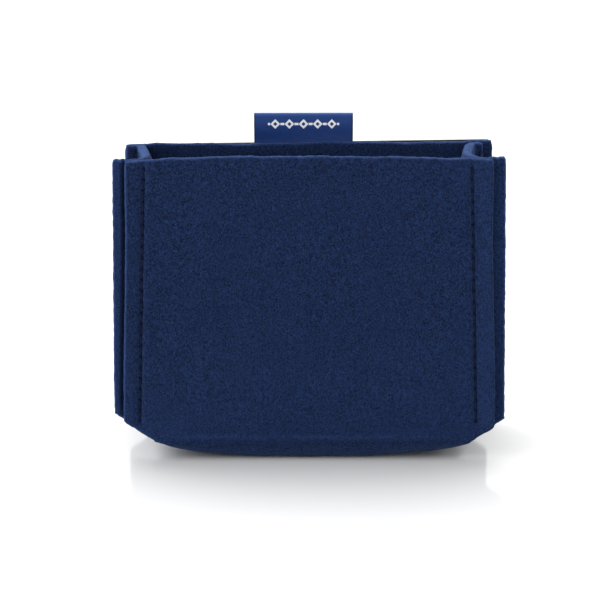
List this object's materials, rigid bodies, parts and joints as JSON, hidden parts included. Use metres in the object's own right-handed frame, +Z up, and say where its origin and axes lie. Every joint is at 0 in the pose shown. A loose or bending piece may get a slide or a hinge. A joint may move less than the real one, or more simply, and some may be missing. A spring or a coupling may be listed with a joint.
{
  "type": "fabric storage bin",
  "caption": "Open felt storage bin with stitched side gussets, a rounded folded base, a flat magnetic back and a flexible ribbon label loop.",
  "frame": {"origin": "centre of the bin's box, on the surface that it stands on", "axes": "+Z up, -Y out of the front panel, +Y out of the magnetic back, +X to the right seen from the front"},
  "size_m": [0.13, 0.06, 0.1115],
  "materials": {
    "felt": "matt needled felt, dark blue",
    "thread": "twisted thread, dark blue",
    "ribbon": "satin woven ribbon, blue",
    "adhesive": "clear matt film",
    "magnet": "smooth matt flexible magnet"
  },
  "bodies": {
    "bin": {"felt_wrap": "felt", "left_gusset": "felt", "right_gusset": "felt", "front_left_needle_thread": "thread", "front_left_bobbin_thread": "thread", "front_right_needle_thread": "thread", "front_right_bobbin_thread": "thread", "back_left_needle_thread": "thread", "back_left_bobbin_thread": "thread", "back_right_needle_thread": "thread", "back_right_bobbin_thread": "thread", "base_left_needle_thread": "thread", "base_left_bobbin_thread": "thread", "base_right_needle_thread": "thread", "base_right_bobbin_thread": "thread", "label_needle_thread": "thread", "label_bobbin_thread": "thread", "label_ends": "ribbon", "adhesive_film": "adhesive", "magnetic_sheet": "magnet"},
    "label_tab": {"label_loop": "ribbon"}
  },
  "joints": [
    {"name": "label_flex", "type": "hinge", "parent": "bin", "child": "label_tab", "pos_m": [-0.0018, 0.0273, 0.1019], "axis": [1, 0, 0], "range_deg": [-75, 75], "stiffness_Nm_per_rad": 0.001}
  ]
}
